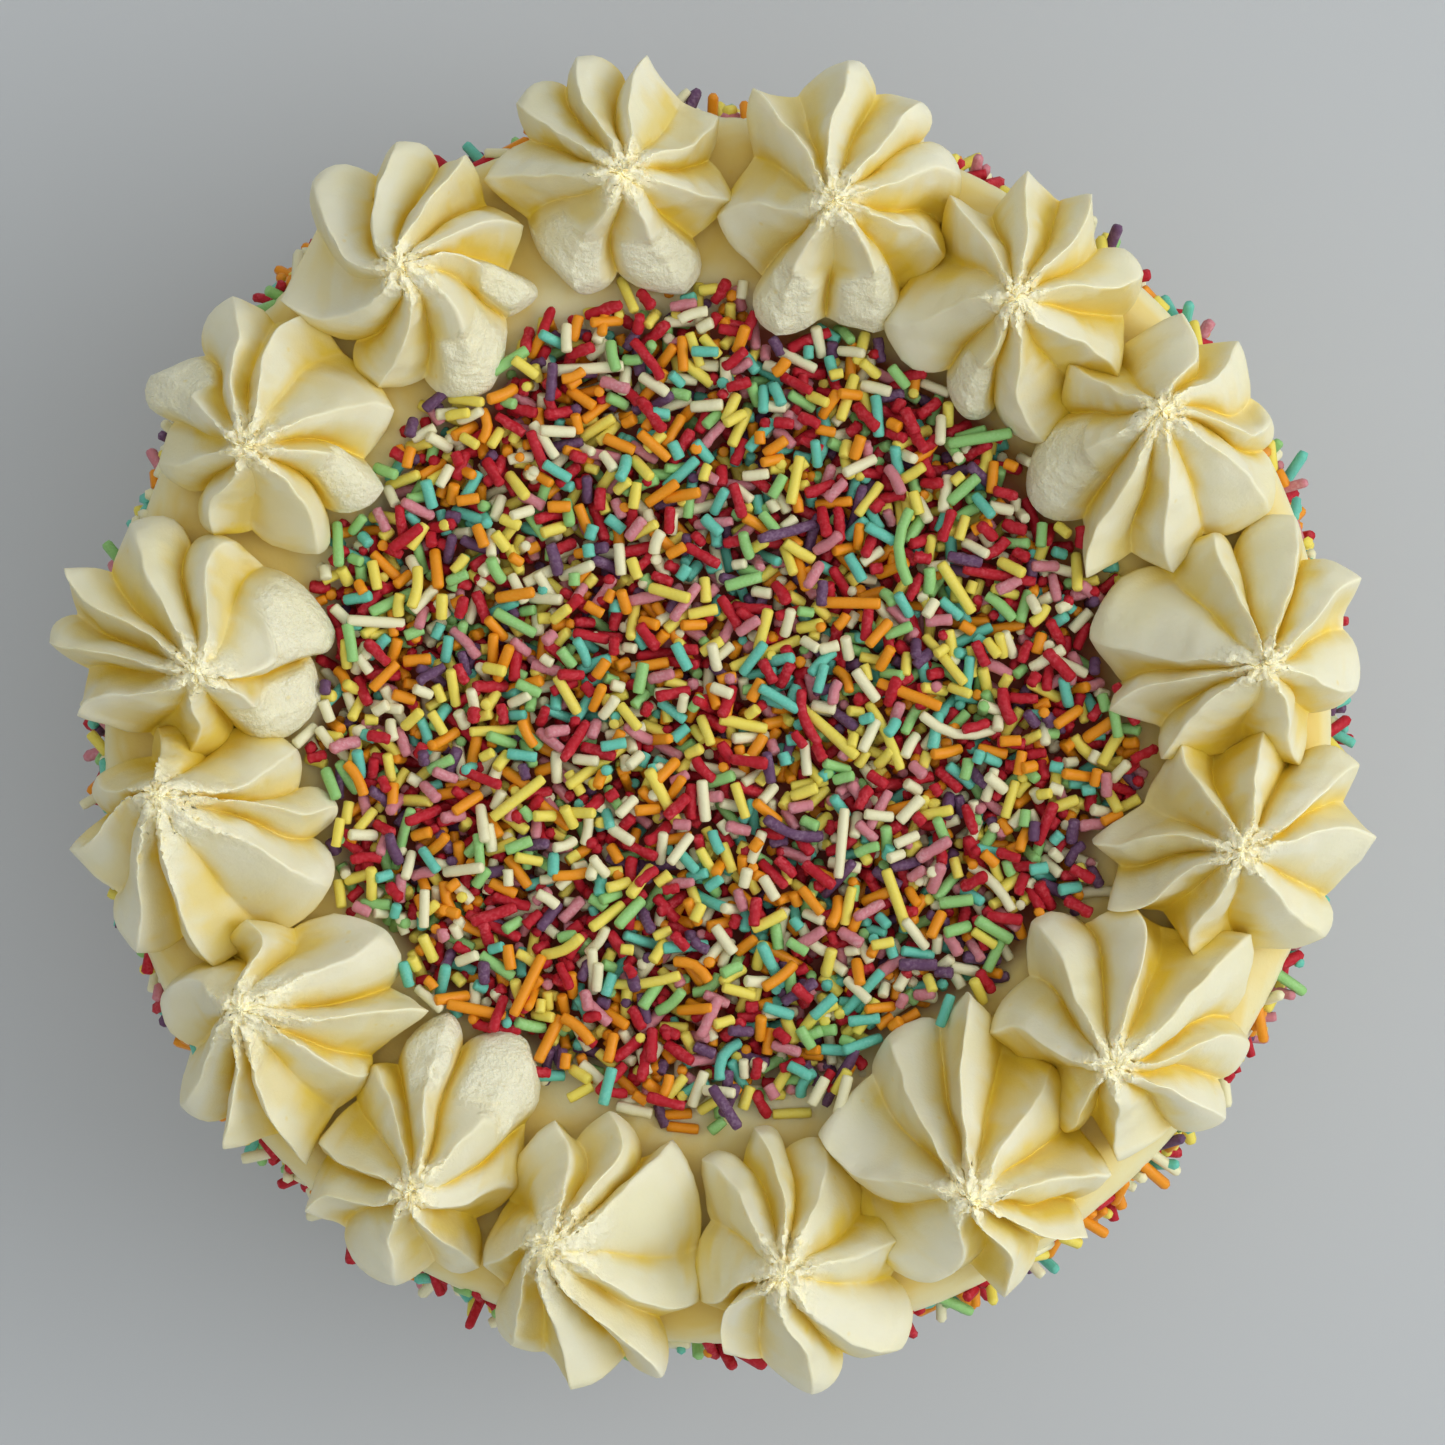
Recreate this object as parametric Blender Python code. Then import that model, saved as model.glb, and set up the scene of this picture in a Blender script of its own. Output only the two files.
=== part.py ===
# A round celebration cake: a tall buttercream body coated with sugar strands,
# a bed of strands on its top, and a ring of sixteen piped drop stars round the rim.
# Metres, +Z up. The origin is the centre of the flat underside.

import math
import random

import bpy
from mathutils import Vector

MM = 0.001

# Body
BODY_RADIUS = 82.0 * MM
BODY_HEIGHT = 95.0 * MM
TOP_EDGE_RADIUS = 6.0 * MM
FOOT_CHAMFER = 1.5 * MM
BODY_SEGMENTS = 64
WALL_WAVE = 0.5 * MM          # how far the spread icing strays from a true cylinder

# Bed of strands on top
BED_CENTRE = Vector((1.0 * MM, 1.5 * MM, 0.0))
BED_RADIUS = 54.0 * MM
BED_DEPTH = 3.2 * MM
BED_CROWN = 0.6 * MM
BED_ROUGHNESS = 0.35 * MM
BED_CLEARANCE = 0.8 * MM
BED_SLOPE = 0.12               # share of the bed's width in which its rim rises

# Sugar strands, fused to the body where they show
STRAND_THICKNESS = 1.7 * MM
STRAND_SIDES = 6
LONGEST_STRAND = 9.5 * MM
SHORTEST_STRAND = 4.0 * MM
TOP_STRANDS = 94
SIDE_STRANDS = 68
STRAND_SPACING = 2.4 * MM
STRAND_LIFT = 0.15             # how far a lying strand's middle stands over the bed, of its thickness
STRAND_TILT = 0.12
PROUD_EVERY = 5                # one wall strand in this many stands out of the icing
PROUD_SLOPE = 0.9
PROUD_SHIFT = 0.18             # of its length
STRAND_SEED = 11
GOLDEN_TURN = math.pi * (3.0 - math.sqrt(5.0))

# Drop stars, whose height follows from how far their petals reach
STAR_HEIGHT_PER_REACH = 1.28
NEIGHBOUR_GAP = 0.3 * MM
PETALS = 8
POINTS_PER_PETAL = 4

# Levels of a drop star from its foot to its tip: height, crest reach, valley depth and how
# round the petals are there, each as a share of the whole.
STAR_LEVELS = (
    (0.00, 0.93, 0.78, 1.00),
    (0.10, 1.00, 0.74, 1.00),
    (0.27, 0.97, 0.62, 0.80),
    (0.43, 0.79, 0.53, 0.45),
    (0.60, 0.53, 0.49, 0.20),
    (0.78, 0.27, 0.51, 0.10),
    (0.92, 0.10, 0.62, 0.20),
)

# How blunt a petal ends: rounded, pointed, or cut off by a knife.
PETAL_ENDS = {"r": 1.0, "p": 0.35, "c": 1.0}

# Each drop star as piped, anticlockwise from the back, in millimetres and degrees:
# bearing and distance of its foot, sideways lean of its tip, bearing of its first petal,
# then for each petal clockwise its turn off an even eighth, its reach, and its end.
STARS = (
    (100, 75.5, (1.0, -2.5), 112, (-2, 7, 2, 5, 5, 6, -15, -8),
     (14.5, 14.0, 14.5, 16.5, 19.0, 17.5, 18.0, 15.5), "rppprcpr"),
    (76, 72.0, (-2.0, -2.0), 98, (-6, 0, 2, 4, 3, 8, 0, -11),
     (17.5, 16.0, 15.0, 14.5, 18.5, 20.5, 17.5, 18.5), "rrrpccpp"),
    (54, 69.5, (-2.5, -0.5), 97, (-6, 6, 5, -3, 0, 10, 3, -14),
     (16.5, 16.0, 15.5, 15.5, 18.5, 17.5, 19.0, 17.0), "pprprcrp"),
    (32, 69.0, (-1.5, 4.5), 99, (-15, 2, 5, 6, -6, 4, 9, -6),
     (17.5, 17.0, 15.0, 16.0, 16.0, 19.5, 18.5, 17.0), "pprrppcp"),
    (9, 69.5, (1.5, -2.5), 71, (-3, 3, -2, -1, -3, 0, 18, -12),
     (18.5, 18.0, 16.0, 17.0, 12.5, 19.0, 19.0, 15.5), "rprppprr"),
    (-12, 69.5, (-0.5, -1.0), 80, (-5, -4, 11, 9, -10, -7, 10, -4),
     (15.0, 18.5, 18.0, 17.0, 16.5, 19.0, 19.5, 15.0), "prprpppp"),
    (-36, 67.0, (-3.5, -3.5), 89, (1, -5, -5, 3, -6, 12, 2, -1),
     (16.5, 20.0, 15.5, 17.0, 17.0, 15.5, 19.0, 19.5), "pprrprpr"),
    (-58, 65.0, (-1.5, -4.5), 93, (2, 2, -12, 2, 7, 17, -9, -9),
     (21.0, 15.0, 17.0, 18.0, 19.0, 19.0, 21.5, 19.5), "prppprpr"),
    (-82, 69.5, (-1.0, -1.0), 57, (16, -2, -7, -3, -4, 12, -15, 3),
     (16.0, 15.5, 19.0, 18.5, 15.0, 13.5, 17.0, 17.5), "rrrrpprr"),
    (-103, 70.5, (-5.5, 3.0), 127, (-21, 3, 20, -14, -9, -2, 10, 13),
     (18.5, 19.0, 18.5, 14.5, 18.0, 18.0, 16.5, 14.5), "prprrprp"),
    (-125, 67.5, (-0.5, -4.0), 77, (2, 13, -9, -5, 1, -5, 6, -4),
     (18.5, 20.0, 13.5, 17.0, 18.0, 17.0, 13.5, 13.0), "ccrrrppr"),
    (-144, 69.5, (-5.0, 5.0), 107, (0, -11, -4, 6, -8, -1, 13, 6),
     (17.0, 19.5, 19.0, 11.5, 16.0, 16.0, 16.5, 17.5), "prprpprr"),
    (-168, 68.5, (-4.5, 5.5), 102, (11, -13, 1, 13, -8, 2, -8, 3),
     (16.0, 17.0, 17.5, 17.5, 17.0, 17.5, 17.5, 16.5), "rrrrprpr"),
    (170, 72.0, (4.0, -5.0), 99, (14, 4, -8, 11, -4, -14, -5, 4),
     (16.0, 15.0, 21.0, 21.0, 16.5, 16.5, 16.5, 16.5), "rrccrprp"),
    (146, 70.5, (-2.0, -2.5), 108, (-2, 7, -9, 0, 3, -1, 0, 2),
     (18.0, 16.0, 16.5, 16.5, 17.5, 15.5, 15.5, 17.5), "rppcrrrc"),
    (122, 72.5, (-2.0, -2.0), 110, (-9, 1, 0, 8, 7, 6, -4, -9),
     (16.0, 14.5, 14.0, 15.5, 19.0, 18.0, 19.0, 18.0), "rppccrpr"),
)


def compass(bearing):
    return Vector((math.cos(bearing), math.sin(bearing), 0.0))


def make_material(name, colour, roughness, subsurface=0.0):
    material = bpy.data.materials.new(name)
    material.use_nodes = True
    shader = material.node_tree.nodes["Principled BSDF"]
    shader.inputs["Base Color"].default_value = (*colour, 1.0)
    shader.inputs["Roughness"].default_value = roughness
    shader.inputs["Subsurface Weight"].default_value = subsurface
    material.diffuse_color = (*colour, 1.0)
    return material


def make_object(name, vertices, faces, material, collection=None):
    mesh = bpy.data.meshes.new(name)
    mesh.from_pydata([tuple(v) for v in vertices], [], faces)
    mesh.materials.append(material)
    thing = bpy.data.objects.new(name, mesh)
    (collection or bpy.context.scene.collection).objects.link(thing)
    return thing


def stack_rings(bottom, rings, top):
    """Vertices and outward faces of a closed solid: equal rings between two end points."""
    count = len(rings[0])
    vertices = [bottom] + [point for ring in rings for point in ring] + [top]
    last = len(vertices) - 1
    faces = []
    for i in range(count):
        j = (i + 1) % count
        faces.append((0, 1 + j, 1 + i))
        for level in range(len(rings) - 1):
            low = 1 + level * count
            high = low + count
            faces.append((low + i, low + j, high + j))
            faces.append((low + i, high + j, high + i))
        high = 1 + (len(rings) - 1) * count
        faces.append((high + i, high + j, last))
    return vertices, faces


# Drop stars

def star_petals(first_bearing, turns, reaches, ends):
    """Each petal's bearing, reach and bluntness, anticlockwise."""
    petals = []
    for i, (turn, reach, end) in enumerate(zip(turns, reaches, ends)):
        bearing = math.radians(first_bearing - 360.0 / PETALS * i + turn)
        petals.append((bearing, reach * MM, PETAL_ENDS[end]))
    petals.reverse()
    return petals


def petal_outline(petals, crest_share, valley_share, roundness):
    """Points of one level round the star, as bearing and distance, crest to crest."""
    outline = []
    for i, (bearing, reach, end) in enumerate(petals):
        next_bearing, next_reach, next_end = petals[(i + 1) % PETALS]
        while next_bearing < bearing:
            next_bearing += 2.0 * math.pi
        for step in range(POINTS_PER_PETAL):
            along = step / POINTS_PER_PETAL
            if along < 0.5:
                height = 1.0 - 2.0 * along
                crest, blunt = reach, end
            else:
                height = 2.0 * along - 1.0
                crest, blunt = next_reach, next_end
            valley = 0.5 * (reach + next_reach) * valley_share
            soft = roundness * blunt
            bulge = (1.0 - soft) * height + soft * math.sqrt(1.0 - (1.0 - height) ** 2)
            distance = crest_share * (valley + (crest - valley) * bulge)
            outline.append((bearing + along * (next_bearing - bearing), distance))
    return outline


def star_foot(star):
    bearing, distance = star[0], star[1]
    return compass(math.radians(bearing)) * (distance * MM)


def neighbour_walls(index):
    """Upright planes where a star presses on the next ones, as direction and distance."""
    foot = star_foot(STARS[index])
    own_reach = sum(STARS[index][5])
    walls = []
    for other in (STARS[index - 1], STARS[(index + 1) % len(STARS)]):
        away = star_foot(other) - foot
        share = own_reach / (own_reach + sum(other[5]))
        walls.append((away.normalized(), away.length * share - NEIGHBOUR_GAP / 2.0))
    return walls


def press_in(offset, centre, walls):
    """Draws a point back towards the middle of its level, clear of the neighbours."""
    for away, limit in walls:
        start = centre.dot(away)
        reach = offset.dot(away)
        if start + reach > limit:
            offset = offset * ((limit - start) / reach)
    return offset


def star_rings(index):
    star = STARS[index]
    foot = star_foot(star)
    lean = Vector((star[2][0] * MM, star[2][1] * MM, 0.0))
    petals = star_petals(star[3], star[4], star[5], star[6])
    walls = neighbour_walls(index)
    base = BODY_HEIGHT + NEIGHBOUR_GAP
    star_height = STAR_HEIGHT_PER_REACH * MM * sum(star[5]) / PETALS
    rings = []
    for height, crest_share, valley_share, roundness in STAR_LEVELS:
        centre = lean * (1.0 - crest_share) if height else lean * 0.0
        level = Vector((0.0, 0.0, base + height * star_height))
        ring = []
        for bearing, distance in petal_outline(petals, crest_share, valley_share, roundness):
            offset = press_in(compass(bearing) * distance, centre, walls)
            ring.append(foot + centre + offset + level)
        rings.append(ring)
    bottom = foot + Vector((0.0, 0.0, base))
    tip = foot + lean + Vector((0.0, 0.0, base + star_height))
    return bottom, rings, tip


# Body

def inner_edge(bearing, rosette_points):
    """Distance from the bed's centre to the nearest star in a narrow fan of bearings."""
    half_fan = 1.6 * math.pi / BODY_SEGMENTS
    nearest = BED_RADIUS + BED_CLEARANCE
    for distance, direction in rosette_points:
        if abs((direction - bearing + math.pi) % (2.0 * math.pi) - math.pi) < half_fan:
            nearest = min(nearest, distance)
    return nearest - BED_CLEARANCE


def points_from_bed(rings):
    """Distance and direction from the bed's centre of points along the lower rings' edges."""
    found = []
    for ring in rings[:4]:
        for i, start in enumerate(ring):
            end = ring[(i + 1) % len(ring)]
            for part in (0.0, 0.25, 0.5, 0.75):
                gone = start.lerp(end, part) - BED_CENTRE
                found.append((math.hypot(gone.x, gone.y), math.atan2(gone.y, gone.x)))
    return found


def wall_radius(bearing, height):
    wave = math.sin(3.0 * bearing + 0.7) + 0.6 * math.sin(7.0 * bearing + 40.0 * height)
    return BODY_RADIUS - WALL_WAVE + 0.5 * WALL_WAVE * wave


def body_rings(bed_edges, chance):
    """Rings from the foot, up the wall, over the rounded edge and across the bed."""
    bearings = [2.0 * math.pi * i / BODY_SEGMENTS for i in range(BODY_SEGMENTS)]
    shoulder = BODY_HEIGHT - TOP_EDGE_RADIUS
    profile = [(-FOOT_CHAMFER, 0.0), (0.0, FOOT_CHAMFER), (0.0, shoulder)]
    for angle in (30.0, 60.0, 90.0):
        turn = math.radians(angle)
        profile.append((-TOP_EDGE_RADIUS * (1.0 - math.cos(turn)),
                        shoulder + TOP_EDGE_RADIUS * math.sin(turn)))
    rings = []
    for inset, height in profile:
        rings.append([compass(b) * (wall_radius(b, min(height, shoulder)) + inset)
                      + Vector((0.0, 0.0, height)) for b in bearings])
    bed_profile = ((1.0, 0.0), (1.0 - 0.3 * BED_SLOPE, 0.7), (1.0 - BED_SLOPE, 1.0), (0.6, 1.0),
                   (0.3, 1.0))
    for share, depth in bed_profile:
        ring = []
        for bearing, edge in zip(bearings, bed_edges):
            bump = chance.uniform(-1.0, 1.0) * BED_ROUGHNESS if depth == 1.0 else 0.0
            crown = BED_CROWN * (1.0 - share * share)
            height = BODY_HEIGHT + BED_DEPTH * depth + (crown if depth else 0.0) + bump
            ring.append(BED_CENTRE + compass(bearing) * (edge * share)
                        + Vector((0.0, 0.0, height)))
        rings.append(ring)
    return rings


# Strands

def bed_height(offset, edge):
    """Height of the bed at an offset from its centre, where the bed ends at that edge."""
    share = math.hypot(offset.x, offset.y) / edge
    crown = BED_CROWN * (1.0 - share * share)
    shoulder = min(1.0, max(0.0, (1.0 - share) / BED_SLOPE))
    return BODY_HEIGHT + BED_DEPTH * shoulder + crown


def segment_distance(start_a, end_a, start_b, end_b):
    """Least distance between points spread along two short rods."""
    parts = (0.0, 0.25, 0.5, 0.75, 1.0)
    return min((start_a.lerp(end_a, s) - start_b.lerp(end_b, t)).length
               for s in parts for t in parts)


def far_from(rod, others):
    middle = (rod[0] + rod[1]) / 2.0
    for other in others:
        if ((other[0] + other[1]) / 2.0 - middle).length > LONGEST_STRAND + STRAND_SPACING:
            continue
        if segment_distance(rod[0], rod[1], other[0], other[1]) < STRAND_SPACING:
            return False
    return True


def strand_lengths(count):
    """Lengths from the longest down, most of them near the short end."""
    for i in range(count):
        share = i / (count - 1)
        yield SHORTEST_STRAND + (LONGEST_STRAND - SHORTEST_STRAND) * (1.0 - share) ** 2


def place_rod(middle, frame, length, rods, chance):
    """Tries a few turns of a rod about its middle, shorter each time, clear of the others."""
    side, over, out = frame
    for attempt in range(12):
        slope = chance.uniform(0.0, math.pi)
        along = side * math.cos(slope) + over * math.sin(slope) + out
        along = along.normalized() * (length * (1.0 - 0.04 * attempt) / 2.0)
        rod = (middle - along, middle + along)
        if far_from(rod, rods):
            rods.append(rod)
            break


def scatter_on_bed(bed_edges, chance):
    """Rods lying on the bed in a sunflower's even spread, the longest mixed among the rest."""
    rods = []
    lengths = list(strand_lengths(TOP_STRANDS))
    chance.shuffle(lengths)
    for number, length in enumerate(lengths):
        bearing = (number * GOLDEN_TURN) % (2.0 * math.pi)
        place = int(bearing / (2.0 * math.pi) * BODY_SEGMENTS) % BODY_SEGMENTS
        edge = min(bed_edges[place], bed_edges[(place + 1) % BODY_SEGMENTS])
        room = edge - 0.55 * length - BED_CLEARANCE
        offset = compass(bearing) * (room * math.sqrt((number + 0.5) / TOP_STRANDS))
        height = bed_height(offset, edge) + STRAND_LIFT * STRAND_THICKNESS
        middle = BED_CENTRE + offset + Vector((0.0, 0.0, height))
        tilt = Vector((0.0, 0.0, chance.uniform(-STRAND_TILT, STRAND_TILT)))
        place_rod(middle, (compass(0.0), compass(math.pi / 2.0), tilt), length, rods, chance)
    return rods


def scatter_on_wall(chance):
    """Rods pressed into the wall, evenly spread, a few with one end standing proud."""
    rods = []
    lengths = list(strand_lengths(SIDE_STRANDS))
    chance.shuffle(lengths)
    lowest = 0.5 * LONGEST_STRAND + FOOT_CHAMFER
    highest = BODY_HEIGHT - TOP_EDGE_RADIUS - 0.5 * LONGEST_STRAND
    for number, length in enumerate(lengths):
        bearing = number * GOLDEN_TURN
        height = lowest + (highest - lowest) * (number * 7 % SIDE_STRANDS) / (SIDE_STRANDS - 1)
        out = compass(bearing)
        side = Vector((-out.y, out.x, 0.0))
        middle = out * wall_radius(bearing, height) + Vector((0.0, 0.0, height))
        proud = number % PROUD_EVERY == 0
        if proud:
            middle += out * (PROUD_SHIFT * length)
        lift = out * (PROUD_SLOPE if proud else 0.0)
        place_rod(middle, (side, Vector((0.0, 0.0, 1.0)), lift), length, rods, chance)
    return rods


def make_strand(name, start, end, material, collection):
    """A six-sided rod with blunt ends between two points."""
    along = (end - start).normalized()
    upright = Vector((0.0, 0.0, 1.0)) if abs(along.z) < 0.9 else Vector((1.0, 0.0, 0.0))
    across = along.cross(upright).normalized()
    over = across.cross(along)
    rings = []
    for middle in (start, end):
        ring = []
        for i in range(STRAND_SIDES):
            turn = 2.0 * math.pi * i / STRAND_SIDES
            spoke = across * math.cos(turn) + over * math.sin(turn)
            ring.append(middle + spoke * (STRAND_THICKNESS / 2.0))
        rings.append(ring)
    count = STRAND_SIDES
    faces = [tuple(range(count)), tuple(reversed(range(count, 2 * count)))]
    faces += [(i, count + i, count + (i + 1) % count, (i + 1) % count) for i in range(count)]
    return make_object(name, rings[0] + rings[1], faces, material, collection)


def fuse(thing, collection):
    """Joins every object of a collection to one object and removes them."""
    union = thing.modifiers.new("Strands", "BOOLEAN")
    union.operation = "UNION"
    union.solver = "MANIFOLD"
    union.operand_type = "COLLECTION"
    union.collection = collection
    with bpy.context.temp_override(object=thing, active_object=thing):
        bpy.ops.object.modifier_apply(modifier=union.name)
    for rod in list(collection.objects):
        bpy.data.objects.remove(rod, do_unlink=True)
    bpy.data.collections.remove(collection)


def make_stars(material):
    edges = []
    for index in range(len(STARS)):
        bottom, rings, tip = star_rings(index)
        vertices, faces = stack_rings(bottom, rings, tip)
        star = make_object(f"rosette_{index + 1:02d}", vertices, faces, material)
        star.data.shade_smooth()
        star.data.set_sharp_from_angle(angle=math.radians(35.0))
        edges += points_from_bed(rings)
    return edges


def make_body(star_edges, icing, sugar):
    chance = random.Random(STRAND_SEED)
    bearings = [2.0 * math.pi * i / BODY_SEGMENTS for i in range(BODY_SEGMENTS)]
    bed_edges = [inner_edge(bearing, star_edges) for bearing in bearings]
    rings = body_rings(bed_edges, chance)
    crown = BED_CENTRE + Vector((0.0, 0.0, BODY_HEIGHT + BED_DEPTH + BED_CROWN))
    vertices, faces = stack_rings(Vector((0.0, 0.0, 0.0)), rings, crown)
    body = make_object("frosted_cake", vertices, faces, icing)
    body.data.materials.append(sugar)
    strands = bpy.data.collections.new("strands")
    bpy.context.scene.collection.children.link(strands)
    rods = scatter_on_bed(bed_edges, chance) + scatter_on_wall(chance)
    for number, (start, end) in enumerate(rods):
        make_strand(f"strand_{number:03d}", start, end, sugar, strands)
    fuse(body, strands)
    return body


def main():
    for thing in list(bpy.data.objects):
        bpy.data.objects.remove(thing, do_unlink=True)
    icing = make_material("buttercream", (0.87, 0.80, 0.56), 0.5, 0.1)
    sugar = make_material("sugar_strands", (0.72, 0.20, 0.14), 0.45)
    star_edges = make_stars(icing)
    make_body(star_edges, icing, sugar)


main()
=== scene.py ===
# Celebration cake: a buttercream body, sixteen piped drop stars, and sugar strands on top and side.
import math

import bpy
import numpy as np
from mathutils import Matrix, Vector, noise
from mathutils.bvhtree import BVHTree


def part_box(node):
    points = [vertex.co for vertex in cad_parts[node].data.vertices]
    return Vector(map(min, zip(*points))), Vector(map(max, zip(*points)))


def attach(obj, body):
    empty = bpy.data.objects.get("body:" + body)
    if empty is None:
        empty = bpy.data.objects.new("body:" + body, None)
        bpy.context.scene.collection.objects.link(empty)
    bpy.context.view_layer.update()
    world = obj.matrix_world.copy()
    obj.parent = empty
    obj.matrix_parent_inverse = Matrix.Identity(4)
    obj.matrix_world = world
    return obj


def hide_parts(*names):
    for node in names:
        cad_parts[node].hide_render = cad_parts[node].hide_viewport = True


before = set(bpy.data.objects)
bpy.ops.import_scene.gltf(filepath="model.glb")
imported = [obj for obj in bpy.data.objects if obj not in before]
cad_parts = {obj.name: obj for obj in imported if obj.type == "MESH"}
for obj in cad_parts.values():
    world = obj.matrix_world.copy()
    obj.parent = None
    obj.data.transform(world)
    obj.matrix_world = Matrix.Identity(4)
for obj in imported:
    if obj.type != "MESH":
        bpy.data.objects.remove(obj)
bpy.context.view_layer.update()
mm = 0.001
noise.seed_set(12)      # noise_vector follows the clock unless it is seeded
print("frame loaded:", len(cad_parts), "solids")


# Small helpers

def addNode(tree, kind, inputs=None, **settings):
    node = tree.nodes.new(kind)
    for key, value in settings.items():
        setattr(node, key, value)
    for key, value in (inputs or {}).items():
        if isinstance(value, bpy.types.NodeSocket):
            tree.links.new(value, node.inputs[key])
        else:
            node.inputs[key].default_value = value
    return node


def smoothStep(low, high, value):
    share = np.clip((value - low) / (high - low), 0.0, 1.0)
    return share * share * (3.0 - 2.0 * share)


def compass(bearing):
    return np.stack([np.cos(bearing), np.sin(bearing), np.zeros_like(bearing)], axis=-1)


def meshFromArrays(name, points, faces, material):
    mesh = bpy.data.meshes.new(name)
    mesh.from_pydata(points.tolist(), [], [tuple(face) for face in faces])
    mesh.polygons.foreach_set("use_smooth", [True] * len(mesh.polygons))
    mesh.materials.append(material)
    piece = bpy.data.objects.new(name, mesh)
    bpy.context.scene.collection.objects.link(piece)
    return piece


# Quads of a closed tube of rings, then a fan at each end, for rows * around points and two more
def ringFaces(rows, around):
    low = np.arange(rows - 1)[:, None] * around
    here = np.arange(around)[None, :]
    following = (here + 1) % around
    quads = np.stack([low + here, low + following, low + around + following, low + around + here], -1)
    first, last = rows * around, rows * around + 1
    step = (np.arange(around) + 1) % around
    bottom = [(first, int(step[i]), i) for i in range(around)]
    top = (rows - 1) * around
    crown = [(last, top + i, top + int(step[i])) for i in range(around)]
    return [tuple(q) for q in quads.reshape(-1, 4).tolist()] + bottom + crown


# Shader nodes that are used many times, each giving back its result

def mathNode(tree, operation, *values):
    return addNode(tree, "ShaderNodeMath", dict(enumerate(values)), operation=operation).outputs[0]


def blend(tree, share, first, second):
    return addNode(tree, "ShaderNodeMix", {"Factor": share, 6: first, 7: second},
                   data_type="RGBA").outputs[2]


def remap(tree, value, low, high, toLow=0.0, toHigh=1.0):
    return addNode(tree, "ShaderNodeMapRange", {"Value": value, "From Min": low, "From Max": high,
                                                "To Min": toLow, "To Max": toHigh}).outputs["Result"]


def noiseNode(tree, where, scale, detail, roughness=0.5):
    return addNode(tree, "ShaderNodeTexNoise", {"Vector": where, "Scale": scale, "Detail": detail,
                                                "Roughness": roughness}).outputs["Fac"]


# Shader groups: each gives a colour and a height for the bump

def newGroup(name, inputs):
    group = bpy.data.node_groups.new(name, "ShaderNodeTree")
    for socketName, value in inputs.items():
        kind = "NodeSocketColor" if isinstance(value, tuple) else "NodeSocketFloat"
        socket = group.interface.new_socket(socketName, in_out="INPUT", socket_type=kind)
        socket.default_value = value
    group.interface.new_socket("Colour", in_out="OUTPUT", socket_type="NodeSocketColor")
    group.interface.new_socket("Height", in_out="OUTPUT", socket_type="NodeSocketFloat")
    given = group.nodes.new("NodeGroupInput").outputs
    return group, given, group.nodes.new("NodeGroupOutput").inputs


icingTexture = {
    "cloudScale": 90.0,
    "cloudRange": (0.38, 0.68),
    "holeScale": 520.0,
    "holeRange": (0.08, 0.24),  # from the middle of a hole to its rim
    "holeRarity": 0.93,         # share of the cells that have no hole
    # how far the painted shade darkens an air hole
    "paintedHoleShade": 0.45,
    "grainScale": 1150.0,
    "smoothGrain": 0.6,
    "roughGrain": 4.0,          # added where the icing is torn or cut
    "bumpDistance": 0.25 * mm,
}


# Whipped icing: cloudy tone, painted shade (darker and yellower) in the hollows, fine grain and a
# scatter of small air holes that are only painted shade
def buildIcingGroup():
    texture = icingTexture
    group, given, out = newGroup("whippedIcing", {
        "Colour": (0.9, 0.85, 0.65, 1.0),
        "Cloud Colour": (0.85, 0.78, 0.5, 1.0),
        "Painted Shade Colour": (0.9, 0.7, 0.2, 1.0),
        "Patch Colour": (0.95, 0.92, 0.8, 1.0),
        "Hollow": 0.0,
        "Patch": 0.0,
        "Rough": 0.0,
        "Air Holes": 0.5,
    })
    where = addNode(group, "ShaderNodeTexCoord").outputs["Object"]
    clouds = remap(group, noiseNode(group, where, texture["cloudScale"], 2.0), *texture["cloudRange"])
    tone = blend(group, clouds, given["Colour"], given["Cloud Colour"])
    # Patch: paler torn and cut icing on the stars; on the body, painted shade under the strand bed
    tone = blend(group, given["Patch"], tone, given["Patch Colour"])
    # painted shade: darker, yellower icing where the Hollow mask says the sky is hidden
    tone = blend(group, given["Hollow"], tone, given["Painted Shade Colour"])
    # air holes, drawn as painted shade only: the small round middles of the cells, and only in a few of
    # them
    cells = addNode(group, "ShaderNodeTexVoronoi", {"Vector": where, "Scale": texture["holeScale"]})
    spot = remap(group, cells.outputs["Distance"], *texture["holeRange"], 1.0, 0.0)
    chosen = addNode(group, "ShaderNodeSeparateColor", {"Color": cells.outputs["Color"]})
    rare = mathNode(group, "GREATER_THAN", chosen.outputs["Red"], texture["holeRarity"])
    holes = mathNode(group, "MULTIPLY", mathNode(group, "MULTIPLY", spot, rare), given["Air Holes"])
    paintedHoleShade = mathNode(group, "MULTIPLY", holes, texture["paintedHoleShade"])
    grain = noiseNode(group, where, texture["grainScale"], 2.0, 0.68)
    coarseness = mathNode(group, "MULTIPLY_ADD", given["Rough"], texture["roughGrain"],
                          texture["smoothGrain"])
    group.links.new(blend(group, paintedHoleShade, tone, given["Painted Shade Colour"]), out["Colour"])
    group.links.new(mathNode(group, "MULTIPLY", grain, coarseness), out["Height"])
    return group


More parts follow.
